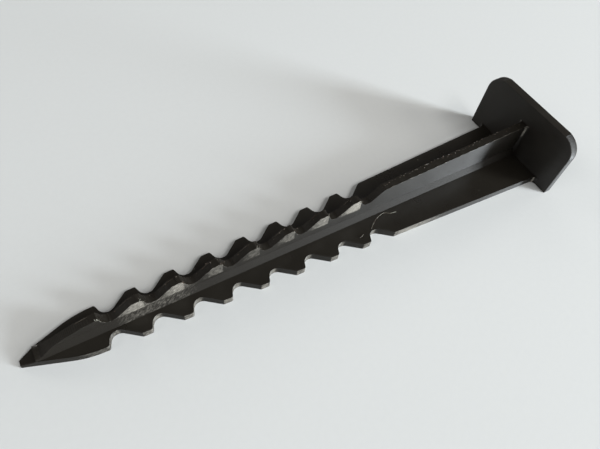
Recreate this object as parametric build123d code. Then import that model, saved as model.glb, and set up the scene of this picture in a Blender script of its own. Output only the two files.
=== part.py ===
"""A black plastic ground spike: a flat barbed blade with a barbed rib along its middle, an arrow point and a struck head.

The spike lies on the flat underside of its blade. X runs from the point to the head, Y across the blade and
Z up from the surface it lies on. The origin is under the middle of the overall box.

The real spike is one moulding. It is divided here into its members, which meet face to face.
"""

import os
from math import radians, tan

from build123d import *

# Driving dimensions, in millimetres and degrees. Places along the spike are measured from its tip.
spike_length = 200.0  # from the tip to the inner face of the head
blade_thickness = 3.0
rib_thickness = 3.0
shoulder_half_width = 7.65  # blade, at the widest place of the arrow point
shank_half_width = 16.25  # blade, where it meets the head
rib_drop = 0.6  # how much less the rib stands above the blade than the blade stands to each side

point_length = 24.95  # from the tip to the trailing corner of the arrow point
point_land = 2.2  # straight edge just ahead of that corner
tip_half_width = 1.0
flank_angle = 19.3  # of the straight part of the point's edge
flank_length = 13.5
bevel_length = 4.75  # the top of the tip slopes down over this length
tip_thickness = 1.2
point_rib_angle = 31.0  # at which the rib rises out of the point

barb_count = 8  # gaps along each edge, the first of them behind the arrow point
barb_pitch = 13.587
barb_depth = 4.15
trailing_angle = 70.0  # of the steep back of each barb
leading_angle = 37.8  # of the slope that leads up to each barb
valley_radius = 2.9
barb_tip_radius = 0.8

root_width = 1.3  # the sloped root on each side of the rib
root_height = 3.0

head_thickness = 3.5
head_width = 46.6
head_height = 27.0
head_corner_radius = 7.5
blade_head_fillet = 2.0  # in the corners where the blade's edges meet the head
rib_head_fillet = 1.0  # in the corners where the rib's sides meet the head

# Worked out from the driving dimensions.
overall_length = spike_length + head_thickness
taper = (shank_half_width - shoulder_half_width) / (spike_length - point_length)
valley_start = barb_depth / tan(radians(trailing_angle))
valley_length = valley_radius * (tan(radians(trailing_angle / 2)) + tan(radians(leading_angle / 2))) + 0.05
slope_length = barb_depth / (tan(radians(leading_angle)) - taper)
point_end = point_length + valley_start + valley_length / 2
shank_start = point_length + (barb_count - 1) * barb_pitch + valley_start + valley_length + slope_length
barbs_end = shank_start + barb_tip_radius
wide = 4 * max(head_width, head_height)  # larger than the spike across, for cutting tools


def envelope(x):
    """Half width of the untoothed blade at this distance from the tip."""
    return shoulder_half_width + taper * (x - point_length)


def barbed_edge(drop):
    """The edge from the arrow point's land to the head, at the blade's half width less this drop."""
    points = [(point_length - point_land, envelope(point_length - point_land) - drop)]
    radii = []
    for number in range(barb_count):
        corner = point_length + number * barb_pitch
        foot = corner + valley_start
        for x, depth in (
            (corner, 0),
            (foot, barb_depth),
            (foot + valley_length, barb_depth),
            (foot + valley_length + slope_length, 0),
        ):
            points.append((x, envelope(x) - drop - depth))
            radii.append(valley_radius if depth else barb_tip_radius)
    points.append((spike_length, shank_half_width - drop))
    return FilletPolyline(*points, radius=radii)


def direction(angle):
    """A direction that rises at this angle."""
    return Vector(1, 0).rotate(Axis.Z, angle)


def half_outline(start, drop):
    """The area between the X axis and a barbed edge, closed at the point by these lines."""
    edge = barbed_edge(drop)
    closing = Polyline(edge @ 1, (spike_length, 0), start[0] @ 0)
    return make_face([*start, edge, closing])


def blade_outline():
    """The blade seen from above."""
    land = (point_length - point_land, envelope(point_length - point_land))
    flank_end = (flank_length, tip_half_width + flank_length * tan(radians(flank_angle)))
    nose = Polyline((0, 0), (0, tip_half_width), flank_end)
    swell = TangentArc(flank_end, land, tangent=direction(flank_angle))
    half = half_outline([nose, swell], 0)
    return into_head(half + mirror(half, Plane.XZ), shank_half_width, blade_head_fillet)


def into_head(outline, half_width, radius):
    """The outline with its two corners at the head's inner face filled to this radius."""
    head = Pos(spike_length + head_thickness / 2, 0) * Rectangle(head_thickness, head_width)
    joined = outline + head
    corners = [
        corner
        for corner in joined.vertices()
        if abs(corner.X - spike_length) < 1e-4 and abs(abs(corner.Y) - half_width) < 1e-4
    ]
    return fillet(corners, radius) - head


def along(solid, start, end):
    """The stretch of a solid between two distances from the tip."""
    return solid & Pos((start + end) / 2, 0, 0) * Box(end - start, wide, wide)


def blade():
    """The whole flat blade, with the top of its tip sloped down."""
    plate = extrude(blade_outline(), blade_thickness)
    slope = Polyline(
        (0, tip_thickness),
        (bevel_length, blade_thickness),
        (bevel_length, 2 * blade_thickness),
        (-bevel_length, 2 * blade_thickness),
        (-bevel_length, tip_thickness),
        close=True,
    )
    return plate - extrude(Plane.XZ * make_face(slope), wide / 2, both=True)


def rib_side():
    """The rib seen from the side, as a solid much thicker than the rib."""
    land = (point_length - point_land, envelope(point_length - point_land) - rib_drop)
    swell = TangentArc((bevel_length, 0), land, tangent=direction(point_rib_angle))
    outline = half_outline([swell], rib_drop)
    return Pos(0, 0, blade_thickness) * extrude(Plane.XZ * outline, wide / 2, both=True)


def rib():
    """The whole upright rib."""
    plan = Pos(spike_length / 2, 0) * Rectangle(spike_length, rib_thickness)
    plan = into_head(plan, rib_thickness / 2, rib_head_fillet)
    return rib_side() & extrude(plan, wide)


def root_flares(rib_solid):
    """The sloped root that joins each side of the rib to the blade."""
    section = Polyline(
        (rib_thickness / 2, blade_thickness),
        (rib_thickness / 2 + root_width, blade_thickness),
        (rib_thickness / 2, blade_thickness + root_height),
        close=True,
    )
    prism = extrude(Plane.YZ * make_face(section), spike_length)
    over_blade = extrude(blade_outline(), wide)
    left = (prism & rib_side() & over_blade) - rib_solid
    return left, mirror(left, Plane.XZ)


def head_plate():
    """The head that is struck, with its two upper corners rounded."""
    plate = Pos(0, head_height / 2) * Rectangle(head_width, head_height)
    corners = plate.vertices().group_by(Axis.Y)[-1]
    return Pos(spike_length, 0, 0) * extrude(Plane.YZ * fillet(corners, head_corner_radius), head_thickness)


def main():
    """Writes each member of the spike to parts/NODE.step."""
    whole_blade = blade()
    whole_rib = rib()
    left_root, right_root = root_flares(whole_rib)
    members = {
        "head_plate": head_plate(),
        "shank_blade": along(whole_blade, barbs_end, spike_length),
        "barbed_blade": along(whole_blade, point_end, barbs_end),
        "point_blade": along(whole_blade, 0, point_end),
        "shank_rib": along(whole_rib, barbs_end, spike_length),
        "barbed_rib": along(whole_rib, point_end, barbs_end),
        "point_rib": along(whole_rib, 0, point_end),
        "left_rib_root": left_root,
        "right_rib_root": right_root,
    }
    os.makedirs("parts", exist_ok=True)
    for node, member in members.items():
        export_step(Pos(-overall_length / 2, 0, 0) * member, f"parts/{node}.step")


main()
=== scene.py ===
"""A printed black plastic ground spike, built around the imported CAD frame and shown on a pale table."""

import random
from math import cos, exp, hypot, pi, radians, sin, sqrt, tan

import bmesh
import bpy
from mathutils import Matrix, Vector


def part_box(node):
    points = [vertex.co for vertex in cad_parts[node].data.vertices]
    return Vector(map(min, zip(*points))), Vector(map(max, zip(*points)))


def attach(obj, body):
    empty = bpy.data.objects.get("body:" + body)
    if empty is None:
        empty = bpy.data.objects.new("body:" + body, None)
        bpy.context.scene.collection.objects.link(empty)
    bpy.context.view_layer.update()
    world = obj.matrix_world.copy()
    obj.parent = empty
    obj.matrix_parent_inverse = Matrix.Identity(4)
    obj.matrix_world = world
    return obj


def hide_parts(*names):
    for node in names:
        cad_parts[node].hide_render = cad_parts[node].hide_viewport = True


bl_info = {
    "name": "Printed Ground Spike",
    "version": (1, 0, 0),
    "blender": (4, 5, 0),
    "location": "View3D > Sidebar > Spike",
    "description": "Builds a layer-printed plastic ground spike and the table it lies on",
    "category": "Add Mesh",
}

from mathutils import Matrix, Vector, noise

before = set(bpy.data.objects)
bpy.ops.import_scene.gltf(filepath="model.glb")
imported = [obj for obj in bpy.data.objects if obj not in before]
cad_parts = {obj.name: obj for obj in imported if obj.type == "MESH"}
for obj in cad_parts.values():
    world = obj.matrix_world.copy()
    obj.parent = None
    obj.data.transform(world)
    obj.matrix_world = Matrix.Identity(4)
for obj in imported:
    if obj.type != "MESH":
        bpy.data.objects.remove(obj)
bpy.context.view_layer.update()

MM = 0.001
UP, DOWN = Vector((0, 0, 1)), Vector((0, 0, -1))
TIP_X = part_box("point_blade")[0].x
HEAD_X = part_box("head_plate")[0].x
BLADE_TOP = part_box("barbed_blade")[1].z
RIB_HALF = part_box("barbed_rib")[1].y
ROOT_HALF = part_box("left_rib_root")[1].y
ROOT_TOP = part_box("left_rib_root")[1].z

# A printed bead seen from its end: share of the layer's height, and share of the groove's depth there.
BEAD = ((0.0, 1.0), (0.3, 0.1), (0.7, 0.1))
# The line round the edge of a top skin: share of its width inwards, and depth there.
OUTER_LINE = ((0.12, 0.0), (0.85, 0.0), (1.0, 0.03 * MM), (1.15, 0.0), (1.3, 0.0))
# Stray threads on the blade, in mm: x, y and height above the blade.
THREADS = (
    ((21.2, -7.6, 0.1), (22.9, -6.3, 0.3), (25.2, -4.9, 0.5), (28.2, -3.9, 0.4), (30.2, -3.9, 0.15),
     (31.8, -4.9, 0.1), (34.5, -5.3, 0.1)),
    ((15.1, -9.1, 0.1), (16.1, -8.9, 0.2), (17.2, -8.4, 0.1)),
)
SIDE, SKIN, UNDER, SLOPE = 0, 1, 2, 3  # material slots of every piece
BARB_SLOPE = radians(37)  # how steeply the rib's crest rises to each barb
# How scarred the spike is along its length, as (x, share) pairs: beside the rib's barbs, all over the rib's
# sides and on the blade's edges, where the share also sets painted highlights.
RIB_WEAR = ((-77 * MM, 0.0), (-72 * MM, 0.95), (-49 * MM, 0.9), (-37 * MM, 0.7), (-23 * MM, 0.64),
            (-9 * MM, 0.7), (4 * MM, 0.82), (18 * MM, 1.05))
SIDE_WEAR = ((-76 * MM, 0.0), (-71 * MM, 0.66), (-50 * MM, 0.66), (-42 * MM, 0.4), (-30 * MM, 0.0))
# On the blade's edges the pale share is real rubbing plus painted highlights, with a painted highlight line in the
# fillet at the head (97.4 mm).
BLADE_WEAR_AND_HIGHLIGHT = ((-95 * MM, 0.5), (-77 * MM, 0.65), (-60 * MM, 0.75), (30 * MM, 0.75), (33 * MM, 0.9), (42 * MM, 0.8),
              (52 * MM, 0.5), (96.9 * MM, 0.4), (97.4 * MM, 1.3), (97.9 * MM, 0.4))


# ---------------------------------------------------------------- settings


class SpikePrint(bpy.types.PropertyGroup):
    """How the spike was printed."""

    layer: bpy.props.FloatProperty(
        name="Layer", description="Height of one printed layer", default=0.2 * MM, unit="LENGTH", precision=5
    )
    groove: bpy.props.FloatProperty(
        name="Groove", description="Depth of the groove between two layers", default=0.025 * MM, unit="LENGTH"
    )
    unevenness: bpy.props.FloatProperty(
        name="Unevenness", description="How far uneven layers stand in", default=0.004 * MM, unit="LENGTH"
    )
    line: bpy.props.FloatProperty(
        name="Line", description="Width of one extruded line", default=0.45 * MM, unit="LENGTH"
    )
    corner: bpy.props.FloatProperty(
        name="Corner", description="Radius the nozzle leaves on upright corners", default=0.4 * MM, unit="LENGTH"
    )
    step: bpy.props.FloatProperty(
        name="Step", description="Longest straight run between two points", default=0.8 * MM, unit="LENGTH"
    )
    tail: bpy.props.FloatProperty(
        name="Tail", description="Length over which a layer thins out where it ends", default=2.0 * MM,
        unit="LENGTH",
    )
    run: bpy.props.FloatProperty(
        name="Run", description="Longest straight run between two points of a crest", default=2.2 * MM,
        unit="LENGTH",
    )
    shortest: bpy.props.FloatProperty(
        name="Shortest", description="Shortest run between two points of a crest", default=0.15 * MM, unit="LENGTH"
    )
    blob: bpy.props.FloatProperty(
        name="Blob", description="Length of the largest blobs left where layers end", default=0.55 * MM,
        unit="LENGTH",
    )
    thread: bpy.props.FloatProperty(
        name="Thread", description="Thickness of stray threads", default=0.2 * MM, unit="LENGTH"
    )
    seed: bpy.props.IntProperty(name="Seed", description="Seed of every random draw", default=7)


class SpikeColours(bpy.types.PropertyGroup):
    """Colours of the plastic, as sRGB hex values."""

    body: bpy.props.StringProperty(name="Body", description="Black plastic", default="#1b1814")
    worn: bpy.props.StringProperty(name="Worn", description="Black plastic, paler patches", default="#221f1a")
    # This pale colour paints real scars and dust specks, and also painted highlights on the crest's edges, the head's
    # fillet and the blade's edges.
    scar_and_highlight: bpy.props.StringProperty(name="Scar", description="Plastic dragged rough and pale", default="#d6cfc2")
    thread: bpy.props.StringProperty(name="Thread", description="Thin stray plastic thread", default="#8b8a80")
    # This colour also paints the thin threads that stand in for the highlight on each barb's far crest edge.
    blob: bpy.props.StringProperty(name="Blob", description="Plastic left in small blobs", default="#615b52")
    browned: bpy.props.StringProperty(name="Browned", description="Plastic overheated in blobs", default="#3a2a1e")


class StageSettings(bpy.types.PropertyGroup):
    """The table and camera."""

    table: bpy.props.StringProperty(name="Table", description="Pale table top", default="#d2d4d4")
    lens: bpy.props.FloatProperty(
        name="Lens", description="Focal length on a 36 mm wide sensor, in mm", default=31.0
    )
    camera: bpy.props.FloatVectorProperty(
        name="Camera", description="Camera's place", default=(-66.58 * MM, -80.53 * MM, 159.5 * MM),
        subtype="TRANSLATION", unit="LENGTH",
    )
    target: bpy.props.FloatVectorProperty(
        name="Target", description="Point on the table that the camera looks at",
        default=(-0.45 * MM, 7.48 * MM, 0.0), subtype="TRANSLATION", unit="LENGTH",
    )
    roll: bpy.props.FloatProperty(
        name="Roll", description="Turn of the camera about its line of sight", default=radians(8.95),
        subtype="ANGLE", unit="ROTATION",
    )


# ---------------------------------------------------------------- helpers


def linear(hex_colour):
    """An sRGB hex colour as linear RGBA."""
    channels = [int(hex_colour[i : i + 2], 16) / 255 for i in (1, 3, 5)]
    return (*(c / 12.92 if c <= 0.04045 else ((c + 0.055) / 1.055) ** 2.4 for c in channels), 1.0)


def add_node(material, kind, settings=None, inputs=None):
    """Adds a node with its settings, and inputs that are values or the sockets that feed them."""
    tree = material.node_tree
    node = tree.nodes.new(kind)
    for name, value in (settings or {}).items():
        setattr(node, name, value)
    for name, value in (inputs or {}).items():
        if isinstance(value, bpy.types.NodeSocket):
            tree.links.new(value, node.inputs[name])
        else:
            node.inputs[name].default_value = value
    return node


def new_material(name):
    """An empty node material."""
    material = bpy.data.materials.new(name)
    material.use_nodes = True
    material.node_tree.nodes.clear()
    return material


def flat_face(node, normal):
    """Ordered corners of the largest flat face of a CAD node that looks along normal."""
    mesh = bmesh.new()
    mesh.from_mesh(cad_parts[node].data)
    bmesh.ops.remove_doubles(mesh, verts=mesh.verts, dist=1e-6)
    planes = {}
    for face in mesh.faces:
        if face.normal.dot(normal) > 0.9999:
            planes.setdefault(round(face.verts[0].co.dot(normal) / (0.01 * MM)), set()).add(face)
    faces = max(planes.values(), key=lambda group: sum(face.calc_area() for face in group))
    border = {e for f in faces for e in f.edges if sum(g in faces for g in e.link_faces) == 1}
    edge = border.pop()
    start, corner = edge.verts
    outline = [start.co.copy()]
    while corner != start:
        outline.append(corner.co.copy())
        edge = next(e for e in corner.link_edges if e in border)
        border.remove(edge)
        corner = edge.other_vert(corner)
    mesh.free()
    return outline


def area_of(loop):
    """Signed area of a loop of (x, y) points."""
    return sum(a[0] * b[1] - b[0] * a[1] for a, b in zip(loop, loop[1:] + loop[:1])) / 2


def interpolate(table, at):
    """The value at this place in a list of (place, value) pairs in rising order."""
    for (a, low), (b, high) in zip(table, table[1:]):
        if a <= at <= b:
            return low if b == a else low + (high - low) * (at - a) / (b - a)
    return table[0][1] if at < table[0][0] else table[-1][1]


def layer_offsets(settings):
    """How far each layer of the whole print stands in."""
    draw = random.Random(settings.seed)
    return [abs(draw.gauss(0, settings.unevenness)) for _ in range(200)]


def finish_piece(name, mesh, materials, node=None):
    """Makes a piece of the spike from a bmesh, with sharp edges only where faces turn sharply."""
    bmesh.ops.recalc_face_normals(mesh, faces=mesh.faces)
    data = bpy.data.meshes.new(name)
    mesh.to_mesh(data)
    mesh.free()
    for material in materials:
        data.materials.append(material)
    data.shade_smooth()
    data.set_sharp_from_angle(angle=radians(50))
    piece = bpy.data.objects.new(name, data)
    bpy.context.scene.collection.objects.link(piece)
    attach(piece, "root")
    if node:
        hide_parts(node)
    return piece


# ---------------------------------------------------------------- materials


def black_plastic(name, roughness, grain, height, layered=0.0, scars_and_highlights=False, lines=0.0, angle=0.0, dust=0.0):
    """Black PETG filament as it leaves a hot nozzle: deep, slightly warm black with a satin gloss.

    grain is the size of its fine unevenness and height how far that stands up. layered is how much more the
    light spreads across the layers than along them. With pale marks asked for, rough pale streaks show where
    the attribute for scars and painted highlights is set: real scars, and painted highlights on edges and
    fillets. lines is the spacing of extruded lines seen flat on, which run at this angle to the spike.
    dust is how much of the surface's cells hold a pale speck.
    """
    colours = bpy.context.scene.spike_colours
    material = new_material(name)
    place = add_node(material, "ShaderNodeTexCoord").outputs["Object"]
    cloud = add_node(
        material, "ShaderNodeTexNoise", inputs={"Vector": place, "Scale": 1 / (9 * MM), "Detail": 3.0}
    ).outputs["Fac"]
    grit = add_node(
        material, "ShaderNodeTexNoise", inputs={"Vector": place, "Scale": 1 / grain, "Detail": 2.0}
    ).outputs["Fac"]
    colour = add_node(
        material, "ShaderNodeMix", {"data_type": "RGBA"},
        {"Factor": cloud, "A": linear(colours.body), "B": linear(colours.worn)},
    ).outputs["Result"]
    gloss = add_node(
        material, "ShaderNodeMapRange",
        inputs={"Value": cloud, "From Min": 0.3, "From Max": 0.7, "To Min": roughness - 0.03,
                "To Max": roughness + 0.04},
    ).outputs["Result"]
    relief = grit
    if lines:
        turned = add_node(
            material, "ShaderNodeMapping", inputs={"Vector": place, "Rotation": (0, 0, angle)}
        ).outputs["Vector"]
        wave = add_node(
            material, "ShaderNodeTexWave", {"wave_profile": "SIN", "bands_direction": "Y"},
            {"Vector": turned, "Scale": 1 / lines / 3.18, "Distortion": 0.4, "Detail": 1.0},
        ).outputs["Fac"]
        relief = add_node(
            material, "ShaderNodeMath", {"operation": "MULTIPLY_ADD"}, {0: grit, 1: 0.5, 2: wave}
        ).outputs[0]
    if scars_and_highlights:
        # Pale scars, and painted highlights on edges and fillets, set by the attribute.
        scar_and_highlight = add_node(material, "ShaderNodeAttribute", {"attribute_name": "scar_and_highlight"}).outputs["Fac"]
        stretched = add_node(
            material, "ShaderNodeMapping", {"vector_type": "TEXTURE"},
            {"Vector": place, "Rotation": (0, -BARB_SLOPE, 0), "Scale": (3, 1, 1)},
        ).outputs["Vector"]
        fray = add_node(
            material, "ShaderNodeTexNoise",
            inputs={"Vector": stretched, "Scale": 1 / (0.5 * MM), "Detail": 4.0, "Roughness": 0.75},
        ).outputs["Fac"]
        scar_and_highlight_mask = add_node(material, "ShaderNodeMath", {"operation": "MULTIPLY"}, {0: scar_and_highlight, 1: fray}).outputs[0]
        scar_and_highlight_mask = add_node(
            material, "ShaderNodeMapRange",
            inputs={"Value": scar_and_highlight_mask, "From Min": 0.27, "From Max": 0.8, "To Min": 0.0, "To Max": 0.8},
        ).outputs["Result"]
        colour = add_node(
            material, "ShaderNodeMix", {"data_type": "RGBA"},
            {"Factor": scar_and_highlight_mask, "A": colour, "B": linear(colours.scar_and_highlight)},
        ).outputs["Result"]
    if dust:
        cells = add_node(material, "ShaderNodeTexVoronoi", inputs={"Vector": place, "Scale": 1 / (4 * MM)})
        speck = add_node(
            material, "ShaderNodeMapRange",
            inputs={"Value": cells.outputs["Distance"], "From Min": 0.035, "From Max": 0.06, "To Min": 0.3,
                    "To Max": 0.0},
        ).outputs["Result"]
        held = add_node(
            material, "ShaderNodeMath", {"operation": "LESS_THAN"}, {0: cells.outputs["Color"], 1: dust}
        ).outputs[0]
        shown = add_node(material, "ShaderNodeMath", {"operation": "MULTIPLY"}, {0: speck, 1: held}).outputs[0]
        colour = add_node(
            material, "ShaderNodeMix", {"data_type": "RGBA"},
            {"Factor": shown, "A": colour, "B": linear(colours.scar_and_highlight)},
        ).outputs["Result"]
    bump = add_node(
        material, "ShaderNodeBump", inputs={"Height": relief, "Strength": 1.0, "Distance": height}
    ).outputs["Normal"]
    inputs = {"Base Color": colour, "Roughness": gloss, "IOR": 1.46, "Normal": bump}
    if layered:
        facing = add_node(material, "ShaderNodeNewGeometry").outputs["Normal"]
        along = add_node(
            material, "ShaderNodeVectorMath", {"operation": "CROSS_PRODUCT"}, {0: facing, 1: UP}
        ).outputs["Vector"]
        inputs |= {"Anisotropic": layered, "Anisotropic Rotation": 0.25, "Tangent": along}
    shader = add_node(material, "ShaderNodeBsdfPrincipled", inputs=inputs).outputs["BSDF"]
    add_node(material, "ShaderNodeOutputMaterial", inputs={"Surface": shader})
    return material


def spike_materials():
    """The print's upright walls, its upper skins, the skin that lay on the print bed and its stepped slopes."""
    names = ("printed PETG wall", "printed PETG top skin", "printed PETG bed skin", "printed PETG stepped slope")
    if names[0] in bpy.data.materials:
        return [bpy.data.materials[name] for name in names]
    return [
        black_plastic(names[0], roughness=0.46, grain=0.9 * MM, height=0.004 * MM, layered=0.85,
                      scars_and_highlights=True),
        black_plastic(names[1], roughness=0.3, grain=0.5 * MM, height=0.006 * MM, lines=0.45 * MM,
                      angle=radians(45), dust=0.45),
        black_plastic(names[2], roughness=0.3, grain=0.6 * MM, height=0.004 * MM, lines=0.45 * MM,
                      angle=radians(-45)),
        black_plastic(names[3], roughness=0.7, grain=0.9 * MM, height=0.004 * MM, layered=0.85, scars_and_highlights=True),
    ]


def stray_plastic(name, pale):
    """The same filament pulled thin or left in blobs, which lets light through and looks paler and browner."""
    if name in bpy.data.materials:
        return bpy.data.materials[name]
    material = new_material(name)
    place = add_node(material, "ShaderNodeTexCoord").outputs["Object"]
    patch = add_node(
        material, "ShaderNodeTexNoise", inputs={"Vector": place, "Scale": 1 / (2.5 * MM), "Detail": 2.0}
    ).outputs["Fac"]
    mixed = add_node(
        material, "ShaderNodeMapRange", inputs={"Value": patch, "From Min": 0.35, "From Max": 0.65}
    ).outputs["Result"]
    colours = bpy.context.scene.spike_colours
    colour = add_node(
        material, "ShaderNodeMix", {"data_type": "RGBA"},
        {"Factor": mixed, "A": linear(colours.browned), "B": linear(pale)},
    ).outputs["Result"]
    shader = add_node(
        material, "ShaderNodeBsdfPrincipled", inputs={"Base Color": colour, "Roughness": 0.35, "IOR": 1.46}
    ).outputs["BSDF"]
    add_node(material, "ShaderNodeOutputMaterial", inputs={"Surface": shader})
    return material


# ---------------------------------------------------------------- printed shapes


def loft(rows, skin=()):
    """A closed skin over rows of points that all run the same way round, from the lowest to the highest.

    skin are further rows, within the highest one, that belong to the top.
    """
    mesh = bmesh.new()
    rings = [[mesh.verts.new(point) for point in row] for row in (*rows, *skin)]
    for n, (low, high) in enumerate(zip(rings, rings[1:])):
        for i in range(len(low)):
            j = (i + 1) % len(low)
            slot = SIDE if n < len(rows) - 1 else SKIN
            mesh.faces.new((low[i], low[j], high[j], high[i])).material_index = slot
    mesh.faces.new(rings[0]).material_index = UNDER
    mesh.faces.new(rings[-1]).material_index = SKIN
    return mesh


def inset_loop(loop, depth, ends=()):
    """The loop moved inwards by depth, except that points on a seam with the next member stay on it."""
    moved = []
    for i, (x, y) in enumerate(loop):
        (ax, ay), (bx, by) = loop[i - 1], loop[(i + 1) % len(loop)]
        before, after = (x - ax, y - ay), (bx - x, by - y)
        on_seam = any(abs(x - end) < 1e-7 for end in ends)
        if on_seam:
            moved.append((x, y - depth * (1 if y > 0 else -1)))
            continue
        normals = [(-dy / hypot(dx, dy), dx / hypot(dx, dy)) for dx, dy in (before, after)]
        nx, ny = (normals[0][0] + normals[1][0]) / 2, (normals[0][1] + normals[1][1]) / 2
        size = max(hypot(nx, ny), 0.7)
        moved.append((x + nx / size * depth, y + ny / size * depth))
    return moved


def blade_piece(node, settings, seams):
    """One length of the blade, printed as a stack of layers with its outline."""
    loop = [(p.x, p.y) for p in flat_face(node, DOWN)]
    if area_of(loop) < 0:
        loop.reverse()
    seam_runs = [(a, b) for a, b in zip(loop, loop[1:] + loop[:1]) if any(
        abs(a[0] - s) < 1e-6 and abs(b[0] - s) < 1e-6 for s in seams)]
    points = []
    for a, b in zip(loop, loop[1:] + loop[:1]):
        count = 1 if (a, b) in seam_runs else max(1, round(hypot(b[0] - a[0], b[1] - a[1]) / settings.step + 0.5))
        points += [(a[0] + (b[0] - a[0]) * i / count, a[1] + (b[1] - a[1]) * i / count) for i in range(count)]
    offsets = layer_offsets(settings)
    layers = round(BLADE_TOP / settings.layer)
    bevel = tip_bevel() if node == "point_blade" else None
    rows = []
    for layer in range(layers):
        start = interpolate(bevel, (layer + 0.5) * settings.layer) if bevel else None
        shape = [(max(x, start), y) for x, y in points] if start else points
        for share, groove in BEAD:
            depth = settings.groove * groove + offsets[layer]
            z = (layer + share) * BLADE_TOP / layers
            rows.append([(x, y, z) for x, y in inset_loop(shape, depth, seams)])
    rows.append([(x, y, BLADE_TOP) for x, y in inset_loop(shape, settings.groove, seams)])
    skin = [
        [(x, y, BLADE_TOP - sink) for x, y in inset_loop(shape, settings.groove + share * settings.line, seams)]
        for share, sink in OUTER_LINE
    ]
    piece = finish_piece(node, loft(rows, skin), spike_materials(), node)
    scarred_and_highlighted(piece, blade_scars_and_highlights, drag=0.06 * MM)
    return piece


def tip_bevel():
    """How far back the tip starts at each height, as (height, x) pairs."""
    full = flat_face("point_blade", UP)
    bevel_end = min(p.x for p in full)
    side = [v.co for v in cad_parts["point_blade"].data.vertices if v.co.x < TIP_X + 1e-6]
    tip_height = max(p.z for p in side)
    return [(0, TIP_X), (tip_height, TIP_X), (BLADE_TOP, bevel_end)]


class AddBlade(bpy.types.Operator):
    """Adds the flat barbed blade: point, barbed length and plain shank"""

    bl_idname = "spike.add_blade"
    bl_label = "Blade"

    def execute(self, context):
        settings = context.scene.spike_print
        nodes = ("point_blade", "barbed_blade", "shank_blade")
        ends = [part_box(node)[1].x for node in nodes]
        for node in nodes:
            blade_piece(node, settings, ends)
        return {"FINISHED"}


def head_row(half_width, near, far, corner, z):
    """A rounded rectangle across the head at this height."""
    row = []
    for x, y, start in (
        (far - corner, half_width - corner, 0),
        (near + corner, half_width - corner, 1),
        (near + corner, corner - half_width, 2),
        (far - corner, corner - half_width, 3),
    ):
        for i in range(5):
            turn = (start + i / 4) * pi / 2
            row.append((x + corner * cos(turn), y + corner * sin(turn), z))
    return row


class AddHead(bpy.types.Operator):
    """Adds the struck head, an upright plate with two rounded corners"""

    bl_idname = "spike.add_head"
    bl_label = "Head"

    def execute(self, context):
        settings = context.scene.spike_print
        low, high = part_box("head_plate")
        edge = sorted((p.z, p.y) for p in flat_face("head_plate", Vector((1, 0, 0))) if p.y > 0)
        offsets = layer_offsets(settings)
        layers = round(high.z / settings.layer)
        rows = []
        for layer in range(layers):
            half_width = interpolate(edge, (layer + 0.5) * high.z / layers)
            for share, groove in BEAD:
                depth = settings.groove * groove + offsets[layer]
                z = (layer + share) * high.z / layers
                rows.append(head_row(half_width - depth, low.x + depth, high.x - depth, settings.corner, z))
        top = settings.groove
        rows.append(head_row(half_width - top, low.x + top, high.x - top, settings.corner, high.z))
        finish_piece("head_plate", loft(rows), spike_materials(), "head_plate")
        return {"FINISHED"}


def crest(node):
    """The top edge of a rib node as (x, height) pairs."""
    outline = flat_face(node, Vector((0, 1, 0)))
    return sorted((p.x, p.z) for p in outline if p.z > BLADE_TOP + 1e-6)


def stack_columns(table, settings, start, end, top=None):
    """Where the stack of layers under this crest starts and stops, as x places and the layers between them."""
    probe = 0.02 * MM
    places, levels = [start], []
    x = start + probe / 2
    while x < end:
        level = max(1, round((interpolate(table, x) - BLADE_TOP) / settings.layer))
        level = min(level, top) if top else level
        run = x - places[-1]
        if not levels:
            levels.append(level)
        elif run > settings.run or level != levels[-1] and run > settings.shortest:
            places.append(x)
            levels.append(level)
        x += probe
    places.append(end)
    return places, levels


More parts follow.
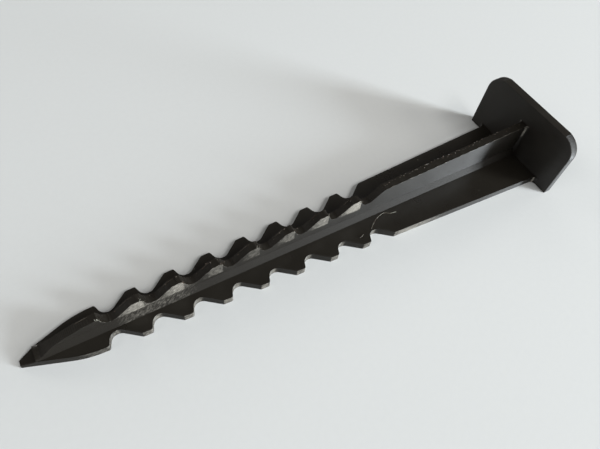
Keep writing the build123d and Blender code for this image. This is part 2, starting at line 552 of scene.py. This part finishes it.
def printed_wall(places, levels, sides, settings, across=(), slot=SIDE):
    """A closed skin over a wall printed in layers: levels gives how many layers stand between each two places.

    sides(x, layer, groove) gives its two faces there. across are the shares of its width where its top has
    points of its own, with how far each stands up. slot is the material slot of its sides.
    """
    mesh = bmesh.new()
    rows = len(BEAD)
    points = {}

    def lean(i, height):
        """How far the ends of the layers at a place lean back at this height, in layers."""
        if not 0 < i < len(levels) or levels[i] == levels[i - 1]:
            return 0.0
        low, high = sorted((levels[i - 1], levels[i]))
        if height <= low or height > high:
            return 0.0
        rising = levels[i] > levels[i - 1]
        gap = places[i + 1] - places[i] if rising else places[i] - places[i - 1]
        share = (height - low) / (high - low)
        return min(settings.tail, 0.9 * gap) * share * (1 if rising else -1)

    def side_point(i, row, side):
        key = i, row, side
        if key not in points:
            layer, part = divmod(row, rows)
            height = layer + BEAD[part][0]
            share, groove = BEAD[part]
            if row == rows * max(levels[max(i - 1, 0)], levels[min(i, len(levels) - 1)]):
                layer, groove = layer - 1, 1.0
            x = places[i] + lean(i, height)
            y = sides(places[i], layer, groove)[side]
            points[key] = mesh.verts.new((x, y, BLADE_TOP + height * settings.layer))
        return points[key]

    def strip(i, level):
        """Points across the top of the wall at a place, from its first face to its second."""
        first, last = side_point(i, level * rows, 0), side_point(i, level * rows, 1)
        middle = []
        for n, (share, rise) in enumerate(across):
            key = i, level, "across", n
            if key not in points:
                spot = first.co.lerp(last.co, share)
                ripple = 1 + noise.noise(spot / (0.6 * MM)) * 0.5 + noise.noise(spot / (0.25 * MM)) * 0.3
                points[key] = mesh.verts.new(spot + UP * rise * ripple)
            middle.append(points[key])
        return [first, *middle, last]

    for i, level in enumerate(levels):
        for side in (0, 1):
            for row in range(level * rows):
                mesh.faces.new(
                    (side_point(i, row, side), side_point(i + 1, row, side),
                     side_point(i + 1, row + 1, side), side_point(i, row + 1, side))
                ).material_index = slot
        near, far = strip(i, level), strip(i + 1, level)
        for a, b, c, d in zip(near, far, far[1:], near[1:]):
            mesh.faces.new((a, b, c, d)).material_index = SKIN

    def ends(i, low, high):
        """The ends of the layers that stop at a place, between two levels."""
        lower = strip(i, low) if low else [side_point(i, 0, 0), side_point(i, 0, 1)]
        for row in range(low * rows + 1, high * rows + 1):
            top = row == high * rows
            upper = strip(i, high) if top else [side_point(i, row, 0), side_point(i, row, 1)]
            mesh.faces.new([*lower, *reversed(upper)]).material_index = SKIN
            lower = upper

    for i in range(1, len(levels)):
        low, high = sorted((levels[i - 1], levels[i]))
        if low != high:
            ends(i, low, high)
    ends(0, 0, levels[0])
    ends(len(levels), 0, levels[-1])
    base = [side_point(i, 0, 0) for i in range(len(places))]
    base += [side_point(i, 0, 1) for i in reversed(range(len(places)))]
    mesh.faces.new(base).material_index = UNDER
    return mesh


def whole_crest():
    """The top edge of the whole rib as (x, height) pairs."""
    return sorted({pair for node in ("point_rib", "barbed_rib", "shank_rib") for pair in crest(node)})


def tip_limit():
    """Half the blade's width along the point as (x, y) pairs, which nothing on the point reaches past."""
    return sorted((p.x, p.y) for p in flat_face("point_blade", UP) if p.y > 1e-6)


def barb_tips():
    """The trailing corner of each barb on the rib, as (x, height) pairs."""
    table, tips = whole_crest(), []
    for (_, before), (x, z), (_, after) in zip(table, table[1:], table[2:]):
        if before <= z and after < z - 1e-6 and (not tips or x - tips[-1][0] > 5 * MM):
            tips.append((x, z))
    return tips


def scarred_and_highlighted(piece, amount, drag=0.14 * MM):
    """Sets the attribute for pale scars and painted highlights from amount(spot, facing), and drags the plastic a
    little inwards there.
    """
    data = piece.data
    scar_and_highlight = data.attributes.new("scar_and_highlight", "FLOAT", "POINT")
    found = [(vertex, vertex.normal.copy(), amount(vertex.co, vertex.normal)) for vertex in data.vertices]
    for vertex, facing, near in found:
        scar_and_highlight.data[vertex.index].value = near
        if near > 0.1:
            rough = noise.noise(vertex.co / (0.35 * MM)) + 0.5 * noise.noise(vertex.co / (0.15 * MM))
            flat = Vector((facing.x, facing.y, 0)).normalized()
            vertex.co -= flat * min(near, 1.0) * abs(rough) * drag


def rib_scars_and_highlights():
    """How scarred the rib is painted: rough on each barb, a thin painted highlight line along the crest's edges, and a
    painted highlight on the fillet at the head.

    Above the foot of a barb each layer is a short island of its own, and the nozzle drags at it as it arrives.
    """
    table = whole_crest()
    feet = [(x, min(z for place, z in table if x - 12 * MM < place <= x)) for x, _ in barb_tips()]
    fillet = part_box("shank_rib")[1].y - RIB_HALF

    def amount(spot, _facing):
        if abs(spot.y) < RIB_HALF - 0.15 * MM:
            return 0.0
        below_crest = interpolate(table, spot.x) - spot.z
        # Painted highlight: a thin pale line along the crest's edges, stronger towards the head.
        edge = (0.9 if spot.x < HEAD_X - 18 * MM else 1.3) * exp(-((below_crest / (0.16 * MM)) ** 2))
        # Painted highlight on the fillet where the rib meets the head, on the -Y side.
        if abs(spot.x - HEAD_X + 0.4 * fillet) < 0.3 * fillet and spot.y < 0:
            edge = max(edge, 1.1 * exp(-(((below_crest - 3 * MM) / (3.5 * MM)) ** 2)))
        most = interpolate(SIDE_WEAR, spot.x)
        for x, foot in feet:
            back = (x - spot.x) / (9 * MM)
            sunk = max((foot - spot.z) / (1.2 * MM), 0.0)
            if -0.1 < back < 1.4:
                most = max(most, exp(-((back - 0.1) ** 2)) * exp(-(sunk**2)) * interpolate(RIB_WEAR, x))
        return max(edge, most * (1.0 if spot.y < 0 else 0.5))

    return amount


def blade_scars_and_highlights(spot, facing):
    """How pale the blade's edge is painted: real rubbing, and painted highlights on the barbs' flats and trailing
    corners, hardly on their slopes.
    """
    if spot.z > BLADE_TOP - 0.02 * MM or spot.z < 0.02 * MM or abs(facing.z) > 0.8:
        return 0.0
    sideways = hypot(facing.x, facing.y)
    leading = -facing.x / sideways if sideways else 1.0
    # Painted highlight: flats and trailing corners, and the -Y side towards the lights, are painted paler than the
    # leading slopes.
    share = 0.6 + 0.4 * min(max((0.45 - leading) / 0.3, 0.0), 1.0)
    return share * interpolate(BLADE_WEAR_AND_HIGHLIGHT, spot.x) * (1.0 if spot.y < 0 else 0.6)


def rib_piece(node, settings):
    """One length of the rib, with its crest stepped in layers."""
    low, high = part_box(node)
    table = crest(node)
    places, levels = stack_columns(table, settings, low.x, high.x)
    offsets, limit = layer_offsets(settings), tip_limit()
    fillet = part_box("shank_rib")[1].y - RIB_HALF
    if high.x > HEAD_X - fillet:
        start = HEAD_X - 1.1 * fillet
        kept = [(x, level) for x, level in zip(places, levels) if x < start]
        places = [x for x, _ in kept] + [start + 1.1 * fillet * i / 7 for i in range(8)]
        levels = [level for _, level in kept] + [levels[-1]] * 7

    def sides(x, layer, groove):
        waviness = noise.noise(Vector((x / (6 * MM), layer * 0.12, 0))) * 0.006 * MM
        inside = max(0.0, x - (HEAD_X - fillet))
        flare = fillet - sqrt(max(fillet**2 - inside**2, 0.0)) if inside else 0.0
        half = min(RIB_HALF + flare, interpolate(limit, x)) - settings.groove * groove - offsets[layer] - waviness
        return -half, half

    line = settings.line / (2 * RIB_HALF)
    across = [(0.5 * line, 0.04 * MM), (line, -0.015 * MM), (1.5 * line, 0.04 * MM), (2 * line, -0.015 * MM),
              (0.5, 0.05 * MM),
              (1 - 2 * line, -0.015 * MM), (1 - 1.5 * line, 0.04 * MM), (1 - line, -0.015 * MM),
              (1 - 0.5 * line, 0.04 * MM)]
    mesh = printed_wall(places, levels, sides, settings, across)
    piece = finish_piece(node, mesh, spike_materials(), node)
    scarred_and_highlighted(piece, rib_scars_and_highlights())
    return piece


class AddRib(bpy.types.Operator):
    """Adds the upright barbed rib: point, barbed length and plain shank"""

    bl_idname = "spike.add_rib"
    bl_label = "Rib"

    def execute(self, context):
        for node in ("point_rib", "barbed_rib", "shank_rib"):
            rib_piece(node, context.scene.spike_print)
        return {"FINISHED"}


class AddRoots(bpy.types.Operator):
    """Adds the sloped root on each side of the rib"""

    bl_idname = "spike.add_roots"
    bl_label = "Rib roots"

    def execute(self, context):
        settings = context.scene.spike_print
        offsets = layer_offsets(settings)
        layers = round((ROOT_TOP - BLADE_TOP) / settings.layer)
        table, limit = whole_crest(), tip_limit()
        low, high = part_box("left_rib_root")
        places, levels = stack_columns(table, settings, low.x, high.x, layers)
        for node, side in (("left_rib_root", 1), ("right_rib_root", -1)):

            def sides(x, layer, groove):
                reach = (ROOT_HALF - RIB_HALF) * (1 - (layer + 0.5) / layers)
                inner = min(RIB_HALF, interpolate(limit, x)) - 3 * settings.groove
                outer = min(RIB_HALF + reach, interpolate(limit, x) - 2 * settings.groove)
                return side * inner, side * (outer - 0.5 * settings.groove * groove - offsets[layer + 40])

            mesh = printed_wall(places, levels, sides, settings, slot=SLOPE)
            piece = finish_piece(node, mesh, spike_materials(), node)
            scarred_and_highlighted(piece, lambda spot, _facing: 0.9 * interpolate(SIDE_WEAR, spot.x), drag=0.0)
        return {"FINISHED"}


def tube(mesh, points, radius, sides=8):
    """Adds a round thread with tapered ends through these points."""
    rings = []
    for i, point in enumerate(points):
        along = (points[min(i + 1, len(points) - 1)] - points[max(i - 1, 0)]).normalized()
        across = along.cross(UP).normalized()
        over = across.cross(along)
        thin = radius * (0.35 if i in (0, len(points) - 1) else 1.0)
        turns = [2 * pi * n / sides for n in range(sides)]
        rings.append([mesh.verts.new(point + (across * cos(t) + over * sin(t)) * thin) for t in turns])
    for low, high in zip(rings, rings[1:]):
        for n in range(sides):
            m = (n + 1) % sides
            mesh.faces.new((low[n], low[m], high[m], high[n]))
    mesh.faces.new(rings[0])
    mesh.faces.new(rings[-1])


def rounded(points, steps=6):
    """Points along a smooth curve that starts and ends at the first and last of these and follows the rest."""
    ends = [points[0], *points, points[-1]]
    curve = []
    for before, a, b, after in zip(ends, ends[1:], ends[2:], ends[3:]):
        for n in range(steps):
            t = n / steps
            curve.append(
                0.5 * (2 * a + (b - before) * t + (2 * before - 5 * a + 4 * b - after) * t**2
                       + (3 * a - before - 3 * b + after) * t**3)
            )
    return [*curve, points[-1]]


def blob(mesh, place, size, draw):
    """Adds a small lump of plastic, as long along the spike as size."""
    shape = Matrix.Diagonal((size * 0.5, size * draw.uniform(0.25, 0.4), size * draw.uniform(0.25, 0.4), 1))
    turn = Matrix.Rotation(draw.uniform(-0.5, 0.5), 4, "Z") @ Matrix.Rotation(draw.uniform(-0.4, 0.4), 4, "Y")
    bmesh.ops.create_icosphere(mesh, subdivisions=2, radius=1.0, matrix=Matrix.Translation(place) @ turn @ shape)


class AddBlobs(bpy.types.Operator):
    """Adds the blobs where layers end on the crest, the torn corners of the barbs, the stray threads, and thin pale
    threads that paint a highlight on each barb's far crest edge
    """

    bl_idname = "spike.add_blobs"
    bl_label = "Blobs and threads"

    def execute(self, context):
        settings, colours = context.scene.spike_print, context.scene.spike_colours
        strung = stray_plastic("strung PETG", colours.thread)
        draw = random.Random(settings.seed + 1)
        table = whole_crest()

        mesh = bmesh.new()
        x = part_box("barbed_rib")[0].x
        while x < HEAD_X - 3 * MM:
            x += draw.uniform(0.5, 2.2) * MM
            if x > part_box("shank_rib")[0].x or draw.random() < 0.3:
                inwards = abs(draw.gauss(0.35, 0.5)) * MM
                size = settings.blob * draw.uniform(0.4, 1.2)
                blob(mesh, Vector((x, RIB_HALF - inwards, interpolate(table, x) + 0.03 * MM)), size, draw)
        # A thin pale thread along the far edge of each barb's rising crest paints that edge's highlight.
        for x, _ in barb_tips():
            path = [Vector((x - back * MM, RIB_HALF - 0.5 * MM, interpolate(table, x - back * MM) + 0.02 * MM))
                    for back in (6.0, 4.6, 3.2, 1.8)]
            tube(mesh, path, settings.thread * 0.28)
        finish_piece("crest_blobs_and_edge_highlights", mesh, [stray_plastic("browned PETG", colours.blob)])

        mesh = bmesh.new()
        for x, z in barb_tips():
            for _ in range(4):
                behind = draw.uniform(-0.3, 1.3) * MM
                foot = Vector((x + behind, -RIB_HALF + draw.uniform(0.02, 0.2) * MM,
                               interpolate(table, x + behind) - 0.1 * MM))
                lean = Vector((draw.uniform(-0.5, 0.5), draw.uniform(-0.6, 0.1), 1.0)).normalized()
                tall = settings.blob * draw.uniform(1.1, 2.5)
                tube(mesh, [foot, foot + lean * tall * 0.6, foot + lean * tall], settings.blob * 0.25)
        finish_piece("torn_barb_corners", mesh, [strung])

        mesh = bmesh.new()
        for thread in THREADS:
            points = [Vector((x * MM, y * MM, BLADE_TOP + z * MM)) for x, y, z in thread]
            tube(mesh, rounded(points), settings.thread / 2)
        finish_piece("stray_threads", mesh, [strung])
        return {"FINISHED"}


# ---------------------------------------------------------------- stage


def direction(azimuth, elevation):
    """A unit vector this many degrees round from +X towards +Y, and this many up."""
    a, e = radians(azimuth), radians(elevation)
    return Vector((cos(e) * cos(a), cos(e) * sin(a), sin(e)))


def softbox(name, azimuth, elevation, wide, high, brightness, colour):
    """A rectangular soft light that faces the middle of the spike and looks this many degrees wide and high."""
    distance = 2.5
    light = bpy.data.lights.new(name, "AREA")
    light.shape = "RECTANGLE"
    light.size, light.size_y = (2 * distance * tan(radians(angle) / 2) for angle in (wide, high))
    light.energy, light.color = pi * brightness * light.size * light.size_y, linear(colour)[:3]
    lamp = bpy.data.objects.new(name, light)
    lamp.location = direction(azimuth, elevation) * distance
    lamp.rotation_euler = (-lamp.location).to_track_quat("-Z", "Y").to_euler()
    bpy.context.scene.collection.objects.link(lamp)
    return lamp


def room(fill, backdrop):
    """A dim even room that the camera sees as a pale backdrop."""
    world = bpy.data.worlds.new("room")
    world.use_nodes = True
    world.node_tree.nodes.clear()
    seen = add_node(world, "ShaderNodeLightPath").outputs["Is Camera Ray"]
    strength = add_node(
        world, "ShaderNodeMapRange", inputs={"Value": seen, "To Min": fill, "To Max": backdrop}
    ).outputs["Result"]
    background = add_node(
        world, "ShaderNodeBackground", inputs={"Color": linear("#f4f6f8"), "Strength": strength}
    ).outputs["Background"]
    add_node(world, "ShaderNodeOutputWorld", inputs={"Surface": background})
    return world


def table_top(colour):
    """A smooth pale laminate with a soft sheen."""
    material = new_material("pale laminate")
    place = add_node(material, "ShaderNodeTexCoord").outputs["Object"]
    speckle = add_node(
        material, "ShaderNodeTexNoise", inputs={"Vector": place, "Scale": 1 / (2 * MM), "Detail": 2.0}
    ).outputs["Fac"]
    tone = add_node(
        material, "ShaderNodeMix", {"data_type": "RGBA"},
        {"Factor": speckle, "A": linear(colour), "B": [0.97 * c for c in linear(colour)[:3]] + [1.0]},
    ).outputs["Result"]
    shader = add_node(
        material, "ShaderNodeBsdfPrincipled", inputs={"Base Color": tone, "Roughness": 0.8, "Specular IOR Level": 0.15}
    ).outputs["BSDF"]
    add_node(material, "ShaderNodeOutputMaterial", inputs={"Surface": shader})
    return material


class AddStage(bpy.types.Operator):
    """Adds the table, the soft lights and the camera"""

    bl_idname = "spike.add_stage"
    bl_label = "Stage"

    def execute(self, context):
        settings = context.scene.spike_stage
        reach = 0.9
        mesh = bmesh.new()
        bmesh.ops.create_grid(mesh, x_segments=1, y_segments=1, size=reach)
        bmesh.ops.translate(mesh, verts=mesh.verts, vec=DOWN * 0.02 * MM)
        data = bpy.data.meshes.new("table")
        mesh.to_mesh(data)
        mesh.free()
        data.materials.append(table_top(settings.table))
        table = bpy.data.objects.new("table", data)
        context.scene.collection.objects.link(table)

        softbox("low window", -44, 13, 11, 20, 74, "#eff8ff")
        softbox("window", -39, 22, 12, 10, 7, "#fffffb")
        softbox("window top", -39, 33, 16, 12, 10, "#fffdf8")
        softbox("high window", -64, 55, 40, 14, 9.4, "#fffefb")
        softbox("far lamp", 120, 21, 20, 18, 4.7, "#fffcf6")
        softbox("back lamp", 60, 30, 30, 20, 1.1, "#fffcf6")
        softbox("near lamp", 180, 42, 24, 22, 2.9, "#fffdf9")
        softbox("end lamp", 2, 6, 18, 10, 23, "#fffcf6")
        context.scene.world = room(fill=0.07, backdrop=0.8)
        context.scene.view_settings.view_transform = "Standard"

        lens = bpy.data.cameras.new("camera")
        lens.lens, lens.sensor_width = settings.lens, 36.0
        lens.clip_start = 0.01
        camera = bpy.data.objects.new("camera", lens)
        sight = Vector(settings.target) - Vector(settings.camera)
        aim = sight.to_track_quat("-Z", "Y").to_matrix().to_4x4()
        camera.matrix_world = Matrix.Translation(settings.camera) @ aim @ Matrix.Rotation(settings.roll, 4, "Z")
        context.scene.collection.objects.link(camera)
        context.scene.camera = camera
        return {"FINISHED"}


# ---------------------------------------------------------------- panel and run


class SpikePanel(bpy.types.Panel):
    """Lists the spike's pieces and settings"""

    bl_idname = "VIEW3D_PT_spike"
    bl_label = "Ground spike"
    bl_space_type = "VIEW_3D"
    bl_region_type = "UI"
    bl_category = "Spike"

    def draw(self, context):
        for operator in OPERATORS:
            self.layout.operator(operator.bl_idname)
        for group in (context.scene.spike_print, context.scene.spike_colours, context.scene.spike_stage):
            for name in group.bl_rna.properties.keys():
                if name not in ("rna_type", "name"):
                    self.layout.prop(group, name)


GROUPS = {"spike_print": SpikePrint, "spike_colours": SpikeColours, "spike_stage": StageSettings}
OPERATORS = (AddHead, AddBlade, AddRib, AddRoots, AddBlobs, AddStage)


def register():
    """Registers the settings, operators and panel."""
    for cls in (*GROUPS.values(), *OPERATORS, SpikePanel):
        bpy.utils.register_class(cls)
    for name, group in GROUPS.items():
        setattr(bpy.types.Scene, name, bpy.props.PointerProperty(type=group))


def unregister():
    """Removes the settings, operators and panel."""
    for name in GROUPS:
        delattr(bpy.types.Scene, name)
    for cls in reversed((*GROUPS.values(), *OPERATORS, SpikePanel)):
        bpy.utils.unregister_class(cls)


def main():
    """Builds every piece and the stage."""
    register()
    bpy.ops.spike.add_head()
    bpy.ops.spike.add_blade()
    bpy.ops.spike.add_rib()
    bpy.ops.spike.add_roots()
    bpy.ops.spike.add_blobs()
    bpy.ops.spike.add_stage()


if __name__ == "__main__":
    main()
